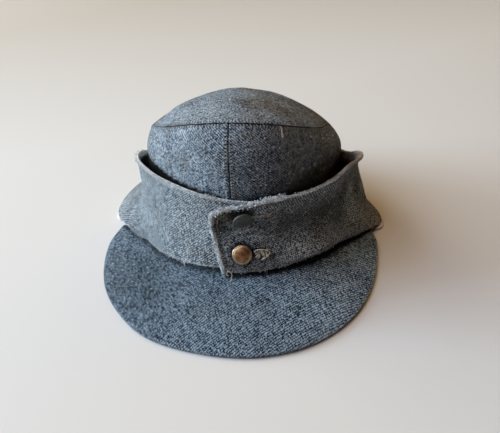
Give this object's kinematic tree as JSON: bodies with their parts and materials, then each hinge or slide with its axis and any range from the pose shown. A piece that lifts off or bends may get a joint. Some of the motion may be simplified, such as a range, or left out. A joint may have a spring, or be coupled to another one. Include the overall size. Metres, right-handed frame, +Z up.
{
  "type": "field cap",
  "caption": "Soft wool field cap with a domed crown, a turned-up band buttoned at the front with metal buttons, and a broad cloth-covered peak.",
  "frame": {"origin": "on the ground under the middle of the cap's box, with the cap standing on its rear rim and the outer edge of its peak", "axes": "+Z up; -Y towards the front of the cap, where the peak is; +X towards the wearer's left, the side the over half of the band comes from"},
  "size_m": [0.2164, 0.259, 0.1263],
  "materials": {
    "crown_top": "worn grey wool twill",
    "crown_side_left": "worn grey wool twill",
    "crown_side_right": "worn grey wool twill",
    "turn_up_under": "worn grey wool twill with frayed edges",
    "turn_up_over": "worn grey wool twill with frayed edges",
    "peak": "blue grey wool twill over a stiff core",
    "button_upper": "dull dark grey paint",
    "button_lower": "worn, tarnished brass",
    "lining_edge": "pale frayed lining cloth"
  },
  "bodies": {
    "root": {"crown_top": "crown_top", "crown_side_left": "crown_side_left", "crown_side_right": "crown_side_right", "turn_up_under": "turn_up_under", "turn_up_over": "turn_up_over", "peak": "peak", "button_upper": "button_upper", "button_lower": "button_lower", "lining_edge": "lining_edge"}
  },
  "joints": []
}
